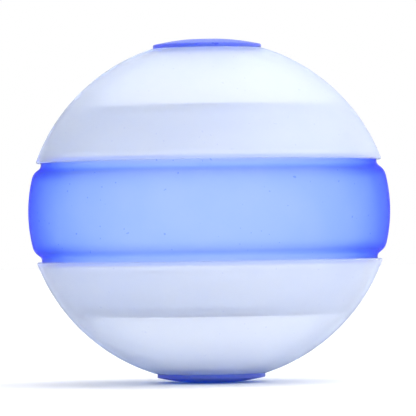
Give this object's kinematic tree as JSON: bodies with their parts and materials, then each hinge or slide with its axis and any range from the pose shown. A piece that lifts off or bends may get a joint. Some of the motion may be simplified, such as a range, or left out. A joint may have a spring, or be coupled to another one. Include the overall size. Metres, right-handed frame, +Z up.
{
  "type": "ball-shaped nesting tableware set",
  "caption": "Ball of two frosted bowls closed on a bulged blue ring, with deep plates nested inside and blue caps on the bowls' feet.",
  "frame": {"origin": "centre of the flat on the lower cap that the ball stands on", "axes": "+Z up the ball's axis, from the lower cap to the upper one; X and Y are free, as every piece is round"},
  "size_m": [0.2498, 0.2498, 0.2363],
  "materials": {
    "frosted_bowl": "frosted translucent natural polypropylene, satin",
    "frosted_plate": "frosted translucent natural polypropylene, satin",
    "blue_ring": "frosted translucent blue polypropylene, fine matt grain",
    "blue_cap": "frosted translucent blue polypropylene, fine matt grain"
  },
  "bodies": {
    "lower_cap": {"lower_cap": "blue_cap"},
    "lower_bowl": {"lower_bowl": "frosted_bowl"},
    "lower_outer_plate": {"lower_outer_plate": "frosted_plate"},
    "lower_inner_plate": {"lower_inner_plate": "frosted_plate"},
    "centre_ring": {"centre_ring": "blue_ring"},
    "upper_inner_plate": {"upper_inner_plate": "frosted_plate"},
    "upper_outer_plate": {"upper_outer_plate": "frosted_plate"},
    "upper_bowl": {"upper_bowl": "frosted_bowl"},
    "upper_cap": {"upper_cap": "blue_cap"}
  },
  "joints": [
    {"name": "lower_bowl_lift", "type": "slide", "parent": "lower_cap", "child": "lower_bowl", "axis": [0, 0, 1], "range_m": [0, 0.03]},
    {"name": "lower_outer_plate_lift", "type": "slide", "parent": "lower_bowl", "child": "lower_outer_plate", "axis": [0, 0, 1], "range_m": [0, 0.06]},
    {"name": "lower_inner_plate_lift", "type": "slide", "parent": "lower_outer_plate", "child": "lower_inner_plate", "axis": [0, 0, 1], "range_m": [0, 0.045]},
    {"name": "centre_ring_lift", "type": "slide", "parent": "lower_inner_plate", "child": "centre_ring", "axis": [0, 0, 1], "range_m": [0, 0.04]},
    {"name": "upper_inner_plate_lift", "type": "slide", "parent": "centre_ring", "child": "upper_inner_plate", "axis": [0, 0, 1], "range_m": [0, 0.04]},
    {"name": "upper_outer_plate_lift", "type": "slide", "parent": "upper_inner_plate", "child": "upper_outer_plate", "axis": [0, 0, 1], "range_m": [0, 0.045]},
    {"name": "upper_bowl_lift", "type": "slide", "parent": "upper_outer_plate", "child": "upper_bowl", "axis": [0, 0, 1], "range_m": [0, 0.06]},
    {"name": "upper_cap_lift", "type": "slide", "parent": "upper_bowl", "child": "upper_cap", "axis": [0, 0, 1], "range_m": [0, 0.03]}
  ]
}
